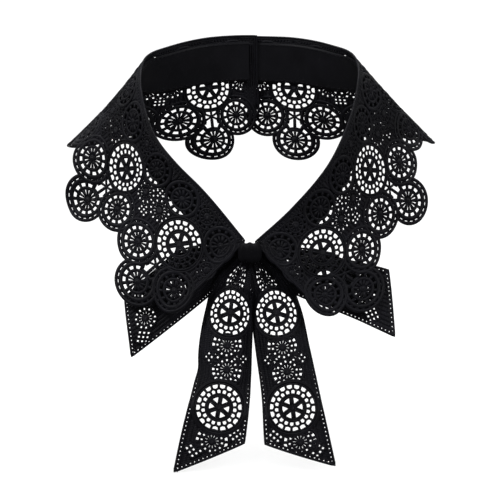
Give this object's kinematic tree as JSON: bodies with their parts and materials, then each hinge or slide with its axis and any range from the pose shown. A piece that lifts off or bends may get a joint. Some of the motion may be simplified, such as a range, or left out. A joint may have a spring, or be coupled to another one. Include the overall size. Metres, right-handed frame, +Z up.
{
  "type": "lace collar",
  "caption": "Detachable scalloped lace collar that goes round the neck to a point at the front, with a ribbon inside its neck edge and a flat tied bow with hanging lace tails.",
  "frame": {"origin": "middle of the neck opening, level with the neck edge at its sides", "axes": "+X towards the wearer's left, +Y towards the wearer's back, +Z up; the bow faces -Y"},
  "size_m": [0.2394, 0.1468, 0.2478],
  "materials": {
    "lace_thread": "black lustrous lace thread",
    "neck_ribbon": "black plain ribbon, softly shining",
    "knot_cloth": "black plain cloth"
  },
  "bodies": {
    "root": {"lace_band_left": "lace_thread", "lace_band_right": "lace_thread", "neck_ribbon_left": "neck_ribbon", "neck_ribbon_right": "neck_ribbon", "long_tail_left": "lace_thread", "long_tail_right": "lace_thread", "side_tail_left": "lace_thread", "side_tail_right": "lace_thread", "bow_knot": "knot_cloth"}
  },
  "joints": []
}
